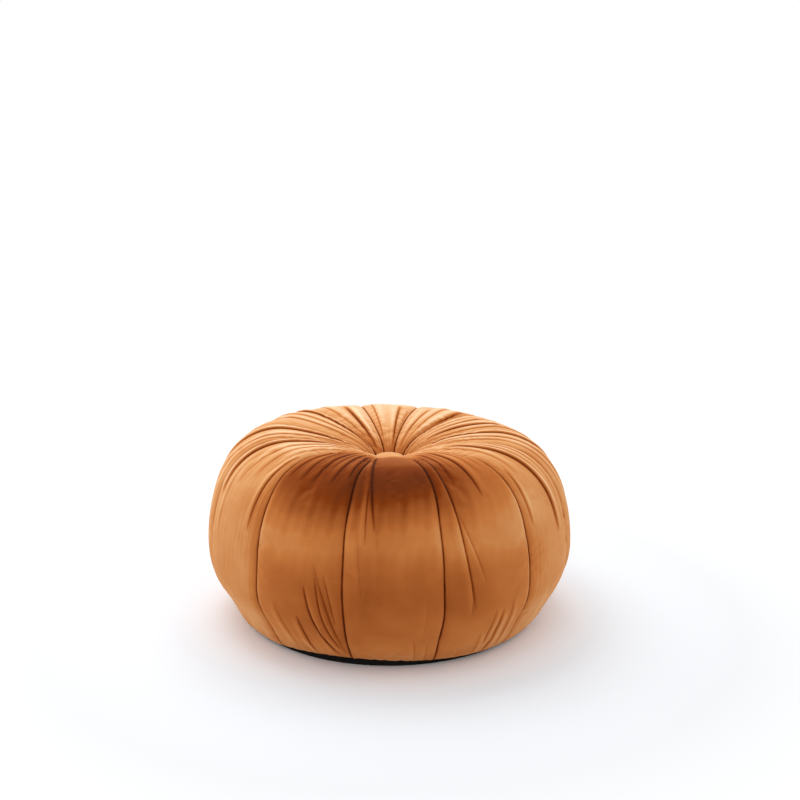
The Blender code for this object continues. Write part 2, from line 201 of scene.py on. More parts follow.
# A fold runs from a to b. height is its round ridge, or trough below zero. crease is the depth of the sharp
# line beside it, on the side given by side: -1 toward smaller azimuths, 1 toward larger ones, 0 in its middle.
Fold = collections.namedtuple("Fold", "gore azimuth_a drop_a azimuth_b drop_b bow half_width height crease side")
FOLDS = (
    # Double tuck right of the seam in the front gore.
    Fold(0, -10.6, 92.0, -5.7, 300.0, -0.2, 5.0, 2.6, 2.1, 1),
    Fold(0, -8.0, 222.0, -8.0, 320.0, 0.0, 4.0, 1.5, 1.3, 1),
    Fold(0, -4.2, 285.0, -3.2, 345.0, 0.2, 5.0, -0.8, 0.3, 0),
    Fold(0, -10.6, 300.0, -9.0, 400.0, 0.2, 5.0, 0.8, 0.5, 1),
    Fold(0, -1.0, 250.0, 0.4, 300.0, 0.0, 5.0, -0.6, 0.2, 0),
    Fold(0, 6.4, 476.0, 7.6, 540.0, 0.0, 4.5, 0.9, 0.8, 1),
    Fold(0, 10.8, 488.0, 11.2, 540.0, 0.0, 4.0, 0.8, 0.7, 1),
    Fold(0, 9.8, 395.0, 8.6, 470.0, 0.2, 6.0, 0.7, 0.3, 1),
    # Long slanting folds right of the next seam, and the gathers over its rim.
    Fold(1, 17.6, 125.0, 24.0, 428.0, -0.9, 5.5, 2.8, 2.2, 1),
    Fold(1, 20.6, 276.0, 27.8, 388.0, 0.0, 4.5, 1.4, 1.2, 1),
    Fold(1, 22.6, 383.0, 23.2, 440.0, 0.0, 6.0, 1.2, 0.8, 1),
    Fold(1, 30.8, 88.0, 33.8, 258.0, 0.4, 5.5, 2.2, 2.0, -1),
    Fold(1, 23.0, 95.0, 25.8, 226.0, 0.3, 4.5, 1.3, 1.3, -1),
    Fold(1, 26.8, 80.0, 28.6, 200.0, 0.2, 4.5, 0.9, 0.9, -1),
    Fold(1, 36.2, 80.0, 38.4, 215.0, 0.3, 5.0, 1.0, 0.9, -1),
    Fold(1, 41.0, 70.0, 42.4, 205.0, 0.2, 5.0, 1.1, 1.0, -1),
    Fold(1, 36.4, 440.0, 36.4, 540.0, 0.0, 5.5, 1.9, 1.6, -1),
    Fold(1, 33.6, 436.0, 33.2, 512.0, 0.0, 5.0, 1.4, 1.2, -1),
    Fold(1, 30.2, 478.0, 30.8, 540.0, 0.2, 5.0, 1.0, 0.8, -1),
    Fold(1, 39.6, 424.0, 40.8, 532.0, 0.3, 5.5, 1.3, 1.1, -1),
    Fold(1, 43.0, 450.0, 44.6, 536.0, 0.2, 4.5, 1.2, 1.0, 1),
    Fold(2, 56.4, 90.0, 65.6, 352.0, 1.6, 6.5, 3.6, 3.1, -1),
    Fold(2, 50.3, 222.0, 50.1, 322.0, 0.0, 4.5, 1.5, 1.4, -1),
    Fold(2, 51.6, 50.0, 55.0, 240.0, 0.5, 5.0, 1.3, 1.0, -1),
    Fold(2, 61.6, 40.0, 67.6, 270.0, 0.8, 5.0, 1.4, 1.1, -1),
    Fold(2, 69.0, 40.0, 71.0, 310.0, 0.3, 5.0, 1.3, 1.0, -1),
    Fold(2, 55.0, 430.0, 57.0, 525.0, 0.2, 9.0, 1.3, 0.7, 1),
    Fold(2, 66.0, 450.0, 67.0, 530.0, 0.2, 8.0, 1.0, 0.6, -1),
    Fold(3, 93.2, 40.0, 94.8, 268.0, 0.3, 7.0, 3.8, 3.2, -1),
    Fold(3, 79.0, 50.0, 81.0, 310.0, 0.4, 5.5, 1.5, 1.1, -1),
    Fold(3, 84.0, 40.0, 87.0, 330.0, 0.6, 6.5, 1.8, 1.4, -1),
    Fold(3, 98.0, 30.0, 98.4, 220.0, 0.2, 5.0, 1.4, 1.1, -1),
    Fold(3, 86.0, 430.0, 88.0, 530.0, 0.3, 9.0, 1.2, 0.6, 1),
    Fold(4, 114.2, 50.0, 113.0, 200.0, 0.4, 7.0, 3.4, 2.8, -1),
    Fold(4, 106.6, 40.0, 108.6, 330.0, -0.4, 6.0, 1.8, 1.3, -1),
    Fold(4, 121.0, 30.0, 123.0, 280.0, 0.8, 7.0, 2.0, 1.4, -1),
    Fold(4, 128.0, 25.0, 129.0, 180.0, 0.3, 6.0, 1.5, 1.2, -1),
    Fold(4, 116.0, 410.0, 119.0, 535.0, 0.4, 9.0, 1.5, 0.8, 1),
    Fold(5, 141.0, 20.0, 142.0, 190.0, -0.6, 7.0, 3.6, 2.8, -1),
    Fold(5, 149.0, 30.0, 151.0, 260.0, 0.6, 7.0, 1.7, 1.3, -1),
    Fold(5, 157.5, 20.0, 158.0, 160.0, 0.2, 6.0, 1.8, 1.4, -1),
    Fold(5, 147.0, 420.0, 150.0, 535.0, 0.4, 9.0, 1.3, 0.7, -1),
    Fold(6, 176.4, 12.0, 176.4, 170.0, 0.0, 5.5, 2.3, 2.0, -1),
    Fold(6, 171.4, 14.0, 170.6, 150.0, 0.0, 5.0, 1.6, 1.4, -1),
    Fold(6, 186.0, 25.0, 187.0, 210.0, 0.4, 6.5, 1.8, 1.3, 1),
    Fold(6, 180.0, 430.0, 183.0, 535.0, 0.4, 9.0, 1.3, 0.7, 1),
    Fold(7, 208.8, 16.0, 202.4, 175.0, 0.2, 6.5, 3.7, 3.1, 1),
    Fold(7, 214.6, 25.0, 213.0, 240.0, 0.5, 6.5, 1.7, 1.2, 1),
    Fold(7, 208.0, 420.0, 206.0, 535.0, 0.4, 9.0, 1.3, 0.7, -1),
    Fold(8, 228.4, 22.0, 228.8, 225.0, -1.5, 6.0, 3.8, 3.2, 1),
    Fold(8, 236.0, 30.0, 235.6, 250.0, 0.4, 6.0, 1.7, 1.3, 1),
    Fold(8, 245.4, 30.0, 243.0, 280.0, 0.6, 6.5, 2.0, 1.5, 1),
    Fold(8, 240.0, 420.0, 237.0, 535.0, 0.4, 9.0, 1.3, 0.7, 1),
    Fold(9, 268.4, 40.0, 268.6, 268.0, -1.0, 7.0, 3.8, 3.2, 1),
    Fold(9, 261.0, 40.0, 261.6, 240.0, 0.3, 5.5, 1.6, 1.2, 1),
    Fold(9, 277.4, 45.0, 276.0, 290.0, 0.4, 5.5, 1.7, 1.3, 1),
    Fold(9, 281.4, 30.0, 280.6, 330.0, 0.2, 5.0, 1.2, 0.9, 1),
    Fold(9, 272.0, 430.0, 270.0, 530.0, 0.3, 9.0, 1.1, 0.6, 1),
    Fold(10, 296.0, 60.0, 288.6, 296.0, -1.6, 6.0, 3.8, 3.2, 1),
    Fold(10, 313.0, 180.0, 311.0, 326.0, 0.0, 5.0, 2.0, 1.8, 1),
    Fold(10, 301.4, 45.0, 297.4, 270.0, -0.6, 5.5, 1.6, 1.2, 1),
    Fold(10, 306.6, 45.0, 304.0, 250.0, -0.4, 5.0, 1.4, 1.1, 1),
    Fold(10, 311.4, 50.0, 309.0, 220.0, -0.2, 5.0, 1.2, 1.0, 1),
    Fold(10, 294.0, 210.0, 293.0, 360.0, 0.0, 6.0, 1.1, 0.7, 1),
    Fold(10, 303.0, 430.0, 306.0, 530.0, 0.4, 8.0, 1.2, 0.7, -1),
    # Gathers over the rim of the gore left of the front one.
    Fold(11, 344.8, 80.0, 343.0, 216.0, 0.0, 4.0, 1.6, 1.6, 1),
    Fold(11, 341.8, 80.0, 336.9, 228.0, 0.0, 4.5, 1.8, 1.6, 1),
    Fold(11, 338.4, 80.0, 334.0, 192.0, 0.0, 3.8, 1.0, 1.0, 1),
    Fold(11, 334.2, 80.0, 329.2, 228.0, 0.0, 4.5, 1.8, 1.6, 1),
    Fold(11, 330.6, 80.0, 327.4, 196.0, 0.0, 3.8, 0.9, 0.9, 1),
    Fold(11, 327.4, 85.0, 324.9, 230.0, 0.0, 4.5, 1.6, 1.4, 1),
    Fold(11, 323.2, 90.0, 319.4, 230.0, 0.0, 4.5, 1.4, 1.3, 1),
    # Soft slanting folds at its foot.
    Fold(11, 335.9, 386.0, 345.6, 536.0, -1.2, 5.5, 2.8, 2.5, -1),
    Fold(11, 339.2, 372.0, 344.8, 505.0, -0.8, 4.5, 1.7, 1.7, -1),
    Fold(11, 337.8, 352.0, 345.2, 525.0, 0.9, 5.5, -1.3, 1.0, 0),
    Fold(11, 331.2, 440.0, 333.2, 536.0, 0.2, 5.5, 2.0, 1.7, 1),
    Fold(11, 341.8, 366.0, 345.2, 446.0, 0.2, 5.0, 1.3, 1.2, -1),
    Fold(11, 323.4, 425.0, 326.4, 520.0, 0.2, 7.0, 1.3, 0.9, 1),
    Fold(11, 338.6, 455.0, 341.0, 537.0, 0.1, 5.0, 1.2, 1.0, 1),
)


def blend(low, high, value):
    """A smooth rise from 0 at low to 1 at high."""
    part = np.clip((value - low) / (high - low), 0.0, 1.0)
    return part * part * (3.0 - 2.0 * part)


def bell(distance, half_width):
    return np.exp(-((distance / half_width) ** 2))


def dish_height(radius):
    sag = DISH_DEPTH * (1.0 - radius / CREST_RADIUS) ** 2
    return CREST_HEIGHT - sag - TUFT_DEPTH * np.exp(-(radius - SEAT_RADIUS) / TUFT_REACH)


def section():
    """Drops, radii and heights along the skin, from its end under the button to its edge at the base."""
    steps = np.arange(SECTION_SAMPLES) / SECTION_SAMPLES
    dish_radii = SEAT_RADIUS + steps**1.5 * (CREST_RADIUS - SEAT_RADIUS)
    upper = np.radians(90.0 * (1.0 - steps))
    upper_radii = CREST_RADIUS + (BODY_RADIUS - CREST_RADIUS) * np.cos(upper) ** (2.0 / UPPER_ROUNDNESS)
    upper_heights = WIDEST_HEIGHT + (CREST_HEIGHT - WIDEST_HEIGHT) * np.sin(upper) ** (2.0 / UPPER_ROUNDNESS)
    lower = np.radians(90.0 * np.arange(SECTION_SAMPLES + 1) / SECTION_SAMPLES)
    out = np.clip(np.cos(lower), 0.0, 1.0) ** (2.0 / LOWER_ROUNDNESS)
    lower_radii = SKIN_EDGE_RADIUS + (BODY_RADIUS - SKIN_EDGE_RADIUS) * out
    fall = np.sin(lower) ** (2.0 / LOWER_ROUNDNESS)
    lower_heights = WIDEST_HEIGHT - (WIDEST_HEIGHT - SKIN_EDGE_HEIGHT) * fall
    radii = np.concatenate([[SKIN_END_RADIUS], dish_radii, upper_radii, lower_radii])
    seat = dish_height(SEAT_RADIUS)
    heights = np.concatenate([[seat], dish_height(dish_radii), upper_heights, lower_heights])
    lengths = np.hypot(np.diff(radii), np.diff(heights))
    drops = SKIN_END_RADIUS - SEAT_RADIUS + np.concatenate([[0.0], np.cumsum(lengths)])
    # The filling rounds off the turn at the widest part, as it rounds every turn of a stuffed skin.
    even = np.arange(drops[0], drops[-1], 1.0)
    reach = int(3 * SMOOTHING)
    weights = bell(np.arange(-reach, reach + 1), math.sqrt(2.0) * SMOOTHING)
    share = blend(290.0, 340.0, drops) * (1.0 - blend(drops[-1] - 80.0, drops[-1] - 30.0, drops))
    soft = []
    for line in (radii, heights):
        padded = np.pad(np.interp(even, drops, line), reach, mode="edge")
        smooth = np.convolve(padded, weights / weights.sum(), mode="valid")
        soft.append(line + share * (np.interp(drops, even, smooth) - line))
    return drops, soft[0], soft[1]


DROPS, RADII, HEIGHTS = section()
SKIN_LENGTH = DROPS[-1]
SEAT_HEIGHT = HEIGHTS[0]


def section_at(drop):
    return np.interp(drop, DROPS, RADII), np.interp(drop, DROPS, HEIGHTS)


def outward_at(drop):
    radius_a, height_a = section_at(drop - 2.0)
    radius_b, height_b = section_at(drop + 2.0)
    length = np.hypot(radius_b - radius_a, height_b - height_a)
    return (height_a - height_b) / length, (radius_b - radius_a) / length


def row_drops():
    drops = [DROPS[0], DROPS[0] / 2.0, 0.0]
    while drops[-1] < SKIN_LENGTH - 1.5 * LAST_ROW:
        drops.append(drops[-1] + min(FIRST_ROW + ROW_GROWTH * drops[-1], LAST_ROW))
    drops.append((drops[-1] + SKIN_LENGTH) / 2.0)
    drops.append(SKIN_LENGTH)
    return np.array(drops[::-1])


ROW_DROPS = row_drops()


def waves(seed, value, scales, power=1.0):
    """A smooth uneven line between about -1 and 1: sines of the given wavelengths with seeded phases."""
    random = np.random.default_rng(seed)
    total = 0.0
    for scale in scales:
        total = total + np.sin(2.0 * np.pi * value / scale + random.uniform(0.0, 2.0 * np.pi))
    return np.abs(total / len(scales)) ** power * np.sign(total)


def seam_azimuth(number, drop):
    """Azimuth of a seam, leaning toward the button and wandering a millimetre either way."""
    seam = SEAMS[number]
    wander = 0.9 * waves(40 + number, drop, (173.0, 97.0)) * blend(20.0, 120.0, drop)
    return seam.azimuth + seam.top_shift * (1.0 - blend(0.0, SHIFT_DROP, drop)) + np.degrees(wander / 300.0)


def seam_relief(number, distance, drop):
    """The groove at a seam, a soft valley with a stitched line in it and short puckers beside it, and the painted shade
    along it.
    """
    seam = SEAMS[number]
    near_button = bell(np.maximum(drop, 0.0), 45.0)
    valley = seam.depth * 0.70 * np.exp(-distance / (5.0 - 2.0 * near_button))
    line = 1.2 * np.exp(-distance / 1.3)
    pucker = waves(70 + number, drop, (17.0, 23.0, 31.0)) * np.exp(-distance / 11.0) * (1.0 - np.exp(-distance / 3.0))
    height = -valley - line + 0.45 * pucker * blend(60.0, 130.0, drop)
    # Painted shade in the seam groove: a dark stitched line whose strength wanders, and a soft shade beside it.
    shown = 0.78 + 0.22 * waves(90 + number, drop, (67.0, 29.0, 41.0))
    return height, 0.90 * shown * np.exp(-((distance / 1.25) ** 2)) + 0.08 * np.exp(-distance / 3.0)


def fold_relief(fold, azimuth, drop):
    """A ridge or trough along a gently bowed run of the skin, with a sharp crease along it, painted shade in the crease
    and a painted highlight on the ridge.
    """
    middle = (fold.drop_a + fold.drop_b) / 2.0
    degree = math.radians(1.0) * section_at(middle)[0]
    run_across = (fold.azimuth_b - fold.azimuth_a) * degree
    run_down = fold.drop_b - fold.drop_a
    length = math.hypot(run_across, run_down)
    across = (azimuth - fold.azimuth_a) * degree
    down = drop - fold.drop_a
    along = (across * run_across + down * run_down) / length**2
    inside = np.clip(along, 0.0, 1.0)
    bow = fold.bow * degree * np.sin(np.pi * inside)
    # Near the button a fold narrows with the gore.
    narrow = np.clip(section_at(drop)[0] / section_at(middle)[0], 0.3, 1.1)
    aside = ((across * run_down - down * run_across) / length - bow) * narrow
    beyond = (along - inside) * length
    fade = np.sin(np.pi * inside) ** 0.5 * np.exp(-((beyond / 6.0) ** 2))
    half_width = fold.half_width * (0.4 + 0.6 * narrow)
    ridge = fold.height * bell(aside, half_width)
    line = np.exp(-np.abs(aside - 0.95 * fold.side * half_width) / (0.24 * half_width))
    # Painted shade darkens the crease and a little way off it, and a painted highlight pales the ridge.
    off = np.abs(aside - 0.95 * fold.side * half_width)
    wide = 0.2 + (0.5 if fold.gore in FRONT_GORES else 0.7) * fold.crease
    dark = min(fold.crease / 1.9, 1.3) * (0.80 * np.exp(-((off / wide) ** 1.5)) + 0.16 * np.exp(-off / 4.0))
    return (ridge - fold.crease * line) * fade, (dark - 0.07 * ridge) * fade


def pleat_relief(number, part, drop):
    """Gathers that run out from under the button: many fine ones that merge into a few long ones, with painted shade in
    their valleys.
    """
    gore = GORES[number]
    random = np.random.default_rng(500 + number)
    warp = part
    for turns in (1, 2, 3):
        warp = warp + random.uniform(-0.022, 0.022) * np.sin(2.0 * np.pi * turns * part)
    drift = 0.012 * np.sin(drop / 37.0 + number)
    guard = blend(0.0, 0.05, part) * blend(0.0, 0.05, 1.0 - part)
    total = 0.0
    crease = 0.0
    layers = ((gore.pleats, 0.65, 0.45 * gore.reach, 1.0), (max(gore.pleats // 2, 3), 0.75, gore.reach, 1.7))
    for count, share, reach, start in layers:
        ridge = np.abs(np.sin(np.pi * (count * (warp + drift * guard) + random.uniform(-0.18, 0.18) * guard)))
        strength = 0.62 + 0.38 * np.sin(2.0 * np.pi * (part * random.uniform(1.0, 2.0) + random.uniform()))
        envelope = blend(-2.0, 10.0 * start, drop) * np.exp(-((np.maximum(drop - 12.0, 0.0) / reach) ** 2))
        total = total + share * strength * (ridge**0.7 - 0.45) * envelope
        # Painted shade in the valleys between the gathers.
        crease = crease + share * strength * (1.0 - ridge) ** 3.5 * envelope
    return gore.pleat_height * total * guard, 0.34 * gore.pleat_height * crease * guard


def streak_relief(number, part, azimuth, drop):
    """Fine lengthwise lines where the velvet is drawn tight, wide soft unevenness of the filling, and painted shade in
    the lines' troughs.
    """
    gore = GORES[number]
    lines = waves(900 + number, part * 100.0 + 1.5 * np.sin(drop / 61.0), (3.1, 4.7, 6.9, 2.3))
    patches = 0.55 + 0.45 * waves(950 + number, drop + 140.0 * part, (211.0, 133.0))
    shown = patches * blend(25.0, 90.0, drop) * lines
    lumps = 0.9 * waves(980, azimuth + 0.05 * drop, (37.0, 23.0)) * waves(985, drop + 0.8 * azimuth, (190.0, 123.0))
    # Painted shade in the troughs of the fine lines.
    return gore.streaks * shown + lumps * blend(40.0, 140.0, drop), 0.35 * gore.streaks * np.maximum(-shown, 0.0)


def stuffed_skin():
    """How far the filling presses the cloth out between the seams, from a short cloth simulation.

    Returns rows from the button down to the hem, their drops, and columns all round from the first seam.
    """
    drops = np.linspace(SKIN_LENGTH - 10.0, 12.0, PANEL_ROWS + 1)
    wide = len(SEAMS) * PANEL_COLUMNS
    column = np.arange(wide + 1)
    gore = np.minimum(column // PANEL_COLUMNS, len(SEAMS) - 1)
    part = (column - gore * PANEL_COLUMNS) / PANEL_COLUMNS
    drop = drops[:, None]
    azimuth = np.empty((PANEL_ROWS + 1, wide + 1))
    for number in range(len(SEAMS)):
        start = seam_azimuth(number, drops)
        span = (seam_azimuth((number + 1) % len(SEAMS), drops) - start) % 360.0
        here = gore == number
        azimuth[:, here] = start[:, None] + span[:, None] * part[None, here]
    radius, height = section_at(drop)
    edge = np.minimum(part, 1.0 - part)[None, :] * np.radians(30.0) * radius
    sunk = 0.5 * waves(777, azimuth, (11.0, 17.0)) - 2.0 * np.exp(-edge / 8.0)
    outward, upward = outward_at(drop)
    turn = np.radians(azimuth)
    across = radius + sunk * outward
    rest = np.stack([across * np.sin(turn), -across * np.cos(turn), height + sunk * upward], -1) * MM
    clear_selection()
    bpy.ops.mesh.primitive_grid_add(x_subdivisions=wide, y_subdivisions=PANEL_ROWS, size=2.0)
    sheet = bpy.context.object
    mesh = sheet.data
    places = np.empty(len(mesh.vertices) * 3)
    mesh.vertices.foreach_get("co", places)
    places = places.reshape(-1, 3)
    columns = np.rint((places[:, 0] + 1.0) / 2.0 * wide).astype(int)
    rows = np.rint((places[:, 1] + 1.0) / 2.0 * PANEL_ROWS).astype(int)
    mesh.vertices.foreach_set("co", rest[rows, columns].ravel())
    mesh.update()
    held = sheet.vertex_groups.new(name="held")
    fixed = (columns % PANEL_COLUMNS == 0) | (rows == 0) | (rows == PANEL_ROWS)
    held.add(np.flatnonzero(fixed).tolist(), 1.0, "REPLACE")
    stuffing = sheet.modifiers.new("stuffing", "CLOTH")
    settings = stuffing.settings
    settings.quality = 5
    settings.mass = 0.2
    settings.tension_stiffness = 15.0
    settings.compression_stiffness = 10.0
    settings.shear_stiffness = 5.0
    settings.bending_stiffness = 0.5
    settings.shrink_min = -0.015
    settings.vertex_group_mass = held.name
    settings.use_pressure = True
    settings.uniform_pressure_force = CLOTH_PRESSURE
    settings.effector_weights.gravity = 0.0
    stuffing.collision_settings.use_collision = False
    stuffing.point_cache.frame_start = 1
    stuffing.point_cache.frame_end = CLOTH_FRAMES
    scene = bpy.context.scene
    for number in range(1, CLOTH_FRAMES + 1):
        scene.frame_set(number)
    pressed = sheet.evaluated_get(bpy.context.evaluated_depsgraph_get())
    pressed.data.vertices.foreach_get("co", places.reshape(-1))
    moved = np.empty((PANEL_ROWS + 1, wide + 1, 3))
    moved[rows, columns] = places
    scene.frame_set(1)
    bpy.data.objects.remove(sheet)
    bpy.data.meshes.remove(mesh)
    normal = np.stack([outward * np.sin(turn), -outward * np.cos(turn), upward + 0.0 * turn], -1)
    swell = ((moved - rest) * normal).sum(-1) / MM
    swell = MOST_SWELL * np.tanh(swell / MOST_SWELL)
    return swell[::-1], drops[::-1]


STUFFED, STUFFED_DROPS = None, None


def smooth_at(grid, row, column):
    """Reads a grid between its points with cubic curves both ways."""
    total = 0.0
    for source, size, axis in ((row, grid.shape[0], 0), (column, grid.shape[1], 1)):
        start = np.clip(np.floor(source).astype(int), 0, size - 2)
        share = source - start
        weights = (
            ((-0.5 * share + 1.0) * share - 0.5) * share,
            (1.5 * share - 2.5) * share**2 + 1.0,
            ((-1.5 * share + 2.0) * share + 0.5) * share,
            (0.5 * share - 0.5) * share**2,
        )
        taps = [(np.clip(start + step, 0, size - 1), weights[step + 1]) for step in (-1, 0, 1, 2)]
        if axis == 0:
            row_taps = taps
    for row_index, row_weight in row_taps:
        for column_index, column_weight in taps:
            total = total + grid[row_index, column_index] * row_weight * column_weight
    return total


def relief(number, part, azimuth, drop):
    """Height of the velvet over the section, in millimetres, and how much painted shade each point has in creases,
    seams and round the button, with a painted highlight on fold ridges below zero.
    """
    gore = GORES[number]
    after = (number + 1) % len(SEAMS)
    width = math.radians((SEAMS[after].azimuth - SEAMS[number].azimuth) % 360.0) * section_at(drop)[0]
    crown = np.clip(4.0 * part * (1.0 - part), 0.0, 1.0) ** 0.7
    total = gore.puff * crown * (0.5 + 0.5 * blend(0.0, 330.0, drop))
    first = number * PANEL_COLUMNS
    panel = STUFFED[:, first : first + PANEL_COLUMNS + 1]
    row = np.interp(drop, STUFFED_DROPS, np.arange(PANEL_ROWS + 1.0))
    total = total + smooth_at(panel, row + 0.0 * part, part * PANEL_COLUMNS + 0.0 * row)
    # Painted shade where the skin dives under the button.
    crease = 0.30 * np.exp(-np.maximum(drop, 0.0) / 9.0)
    for raised, line in (seam_relief(number, part * width, drop), seam_relief(after, (1.0 - part) * width, drop)):
        total = total + raised
        crease = crease + line
    for swell in SWELLS:
        turn = (azimuth - swell.azimuth + 180.0) % 360.0 - 180.0
        total = total + swell.height * bell(turn, swell.half_angle) * bell(drop - swell.drop, swell.half_drop)
    guard = blend(0.0, 7.0, np.minimum(part, 1.0 - part) * width)
    inner = [pleat_relief(number, part, drop), streak_relief(number, part, azimuth, drop)]
    inner += [fold_relief(fold, azimuth, drop) for fold in FOLDS if fold.gore == number]
    for raised, line in inner:
        total = total + guard * raised
        crease = crease + guard * line
    total = total * blend(0.0, EDGE_FADE, SKIN_LENGTH - drop + 6.0) * blend(0.0, SEAT_FADE, drop)
    return total, np.clip(crease, -0.3, 1.0)


def nap_and_painted_light_tone(number, azimuth, drop):
    """How pale the velvet is: the lie of the pile together with painted shade, painted bounce light and painted sheen,
    with wandering edges to the painted shaded band below the rim.
    """
    turn = (azimuth + 180.0) % 360.0 - 180.0
    lower = 18.0 * bell(turn + 30.0, 12.0) + 8.0 * bell(turn - 31.0, 11.0)
    wander = 8.0 * waves(610, turn + 0.02 * drop, (19.0, 7.3, 3.7)) - lower
    edge = drop + wander * blend(200.0, 250.0, drop) * (1.0 - blend(330.0, 400.0, drop))
    columns = list(zip(*NAPS_AND_PAINTED_LIGHT))
    front = np.interp(edge, columns[0], columns[1])
    side = np.interp(drop, columns[0], columns[2])
    share = np.interp(turn, *zip(*TONES)) if number in FRONT_GORES else 1.0
    return front + share * (side - front)


def hem_shift(azimuth, drop):
    turn = (azimuth + 180.0) % 360.0 - 180.0
    height = np.interp(turn, [hem.azimuth for hem in HEMS], [hem.height for hem in HEMS])
    ragged = 0.8 * waves(321, turn, (7.3, 3.1, 4.7)) * bell(turn + 8.0, 40.0)
    near_base = 1.0 - blend(0.0, HEM_FADE, SKIN_LENGTH - drop)
    return (height + ragged - SKIN_EDGE_HEIGHT) * near_base


def skin_points(number):
    """Points, flat cloth places and looks of a gore's skin in rows and columns, from under the hem upward."""
    after = (number + 1) % len(SEAMS)
    even = np.arange(SKIN_COLUMNS + 1) / SKIN_COLUMNS
    crowded = (1.0 - np.cos(np.pi * even)) / 2.0
    part = (even + COLUMN_CROWDING * (crowded - even))[None, :]
    drop = ROW_DROPS[:, None]
    radius, height = section_at(drop)
    aside = np.degrees(np.arcsin(CLEARANCE / 2.0 / radius))
    start = seam_azimuth(number, drop) + aside
    span = (seam_azimuth(after, drop) - aside - start) % 360.0
    azimuth = start + part * span
    folded = azimuth + 360.0 * np.round((SEAMS[number].azimuth - azimuth) / 360.0)
    raised, crease = relief(number, part, folded, drop)
    # The stored velvet tone carries painted shade, painted bounce light and painted sheen as well as the lie of the
    # pile.
    nap_and_painted_light = nap_and_painted_light_tone(number, folded, drop)
    outward, upward = outward_at(drop)
    skin_radius = radius + raised * outward
    skin_height = height + raised * upward + hem_shift(azimuth, drop)
    turn = np.radians(azimuth)
    skin = np.stack([skin_radius * np.sin(turn), -skin_radius * np.cos(turn), skin_height], -1)
    under_turn = turn[:1]
    under = np.stack(
        [
            UNDERSIDE_RADIUS * np.sin(under_turn),
            -UNDERSIDE_RADIUS * np.cos(under_turn),
            np.full_like(under_turn, UNDERSIDE_HEIGHT),
        ],
        -1,
    )
    across = (part - 0.5) * np.radians(span) * radius
    flat = np.stack([across, np.broadcast_to(-drop, across.shape)], -1)
    lines = GORES[number].lines * (0.30 + 0.70 * bell(drop - 190.0, 105.0)) + 0.0 * nap_and_painted_light
    looks = np.stack([nap_and_painted_light, crease, lines], -1)
    points, cloth, looks = (np.concatenate(pair) for pair in ((under, skin), (flat[:1], flat), (looks[:1], looks)))
    return points * MM, cloth * MM, looks


def core_points(number, rows):
    """The gore's inner edge, half the clearance off both seam planes."""
    after = (number + 1) % len(SEAMS)
    half_span = (SEAMS[after].azimuth - SEAMS[number].azimuth) % 360.0 / 2.0
    turn = math.radians(SEAMS[number].azimuth + half_span)
    radius = CLEARANCE / 2.0 / math.sin(math.radians(half_span))
    heights = np.minimum(section_at(ROW_DROPS[: rows - 1])[1], FAN_HEIGHT)
    heights = np.concatenate([[UNDERSIDE_HEIGHT], heights])
    heights[1] = UNDERSIDE_HEIGHT
    heights[-1] = SEAT_HEIGHT
    return np.stack([np.full(rows, radius * math.sin(turn)), np.full(rows, -radius * math.cos(turn)), heights], -1) * MM


def clear_selection():
    if bpy.context.object and bpy.context.object.mode != "OBJECT":
        bpy.ops.object.mode_set(mode="OBJECT")
    bpy.ops.object.select_all(action="DESELECT")


def set_looks(mesh, looks):
    """Stores how pale the velvet is with its painted light and shade, how much painted shade lies in creases, seams and
    gathers, and how clearly brushed lines show.
    """
    for index, name in enumerate(("nap_and_painted_light", "crease", "lines")):
        layer = mesh.attributes.new(name, "FLOAT", "POINT")
        layer.data.foreach_set("value", np.ascontiguousarray(looks[:, index], dtype=np.float32))


def make_gore(number):
    """One gore: a grid bent into the skin and the two seam walls, closed at the middle, above and below."""
    skin, flat, looks = skin_points(number)
    rows = skin.shape[0]
    core = core_points(number, rows)
    wall_left, wall_right = skin[:, 0].copy(), skin[:, -1].copy()
    wall_left[1], wall_right[1] = skin[0, 0], skin[0, -1]
    points = np.concatenate(
        [core[:, None], wall_left[:, None], skin, wall_right[:, None], core[:, None]],
        1,
    )
    wide = points.shape[1]
    clear_selection()
    bpy.ops.mesh.primitive_grid_add(x_subdivisions=wide - 1, y_subdivisions=rows - 1, size=2.0)
    gore = bpy.context.object
    gore.name = f"velvet_gore_{number + 1:02d}"
    mesh = gore.data
    mesh.name = gore.name
    places = np.empty(len(mesh.vertices) * 3)
    mesh.vertices.foreach_get("co", places)
    places = places.reshape(-1, 3)
    column = np.rint((places[:, 0] + 1.0) / 2.0 * (wide - 1)).astype(int)
    row = np.rint((places[:, 1] + 1.0) / 2.0 * (rows - 1)).astype(int)
    mesh.vertices.foreach_set("co", points[row, column].ravel())
    corners = np.empty(len(mesh.loops), dtype=int)
    mesh.loops.foreach_get("vertex_index", corners)
    inner_column = np.clip(column - 2, 0, SKIN_COLUMNS)
    cloth = flat[row, inner_column]
    mesh.uv_layers[0].data.foreach_set("uv", cloth[corners].ravel())
    set_looks(mesh, looks[row, inner_column])
    bpy.ops.object.mode_set(mode="EDIT")
    bpy.ops.mesh.select_all(action="SELECT")
    bpy.ops.mesh.remove_doubles(threshold=0.004 * MM)
    bpy.ops.mesh.select_all(action="DESELECT")
    bpy.ops.mesh.select_mode(type="EDGE")
    bpy.ops.mesh.select_non_manifold(extend=False)
    bpy.ops.mesh.fill_holes(sides=0)
    bpy.ops.mesh.select_all(action="SELECT")
    bpy.ops.mesh.normals_make_consistent(inside=False)
    bpy.ops.mesh.select_all(action="DESELECT")
    bpy.ops.object.mode_set(mode="OBJECT")
    bpy.ops.object.shade_smooth_by_angle(angle=math.radians(50.0))
    return gore


